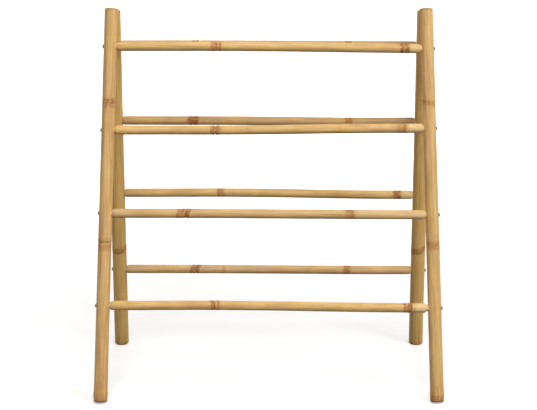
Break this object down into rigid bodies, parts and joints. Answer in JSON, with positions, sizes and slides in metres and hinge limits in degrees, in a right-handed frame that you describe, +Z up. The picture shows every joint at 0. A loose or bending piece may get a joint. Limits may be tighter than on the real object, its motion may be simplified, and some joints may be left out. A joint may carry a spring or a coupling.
{
  "type": "towel ladder",
  "caption": "Free-standing bamboo towel ladder: round-runged frames hinged at the top stand open as an A for hanging towels and fold flat.",
  "frame": {"origin": "on the floor, under the middle of the open rack", "axes": "+Z up, +X along the rungs to the right seen from the front, +Y from the front frame to the rear frame"},
  "size_m": [0.9098, 0.4999, 1],
  "materials": {
    "bamboo_pole": "clear-lacquered bamboo, tan",
    "bamboo_rung": "clear-lacquered bamboo, golden",
    "dowel_wood": "bare turned wood",
    "screw_steel": "dark oxide",
    "hinge_steel": "zinc plated"
  },
  "bodies": {
    "front_frame": {"front_bottom_rung": "bamboo_rung", "front_bottom_rung_left_dowel": "dowel_wood", "front_bottom_rung_right_dowel": "dowel_wood", "front_left_pole": "bamboo_pole", "front_left_rung_screws": "screw_steel", "front_left_top_plug": "dowel_wood", "front_lower_rung": "bamboo_rung", "front_lower_rung_left_dowel": "dowel_wood", "front_lower_rung_right_dowel": "dowel_wood", "front_right_pole": "bamboo_pole", "front_right_rung_screws": "screw_steel", "front_right_top_plug": "dowel_wood", "front_top_rung": "bamboo_rung", "front_top_rung_left_dowel": "dowel_wood", "front_top_rung_right_dowel": "dowel_wood", "front_upper_rung": "bamboo_rung", "front_upper_rung_left_dowel": "dowel_wood", "front_upper_rung_right_dowel": "dowel_wood", "left_hinge_front_leaf": "hinge_steel", "left_hinge_front_screws": "hinge_steel", "left_hinge_pin": "hinge_steel", "right_hinge_front_leaf": "hinge_steel", "right_hinge_front_screws": "hinge_steel", "right_hinge_pin": "hinge_steel"},
    "rear_frame": {"left_hinge_rear_leaf": "hinge_steel", "left_hinge_rear_screws": "hinge_steel", "rear_bottom_rung": "bamboo_rung", "rear_bottom_rung_left_dowel": "dowel_wood", "rear_bottom_rung_right_dowel": "dowel_wood", "rear_left_pole": "bamboo_pole", "rear_left_rung_screws": "screw_steel", "rear_left_top_plug": "dowel_wood", "rear_lower_rung": "bamboo_rung", "rear_lower_rung_left_dowel": "dowel_wood", "rear_lower_rung_right_dowel": "dowel_wood", "rear_right_pole": "bamboo_pole", "rear_right_rung_screws": "screw_steel", "rear_right_top_plug": "dowel_wood", "rear_top_rung": "bamboo_rung", "rear_top_rung_left_dowel": "dowel_wood", "rear_top_rung_right_dowel": "dowel_wood", "rear_upper_rung": "bamboo_rung", "rear_upper_rung_left_dowel": "dowel_wood", "rear_upper_rung_right_dowel": "dowel_wood", "right_hinge_rear_leaf": "hinge_steel", "right_hinge_rear_screws": "hinge_steel"}
  },
  "joints": [
    {"name": "fold", "type": "hinge", "parent": "front_frame", "child": "rear_frame", "pos_m": [0, 0, 0.96746], "axis": [-1, 0, 0], "range_deg": [0, 24.6]}
  ]
}
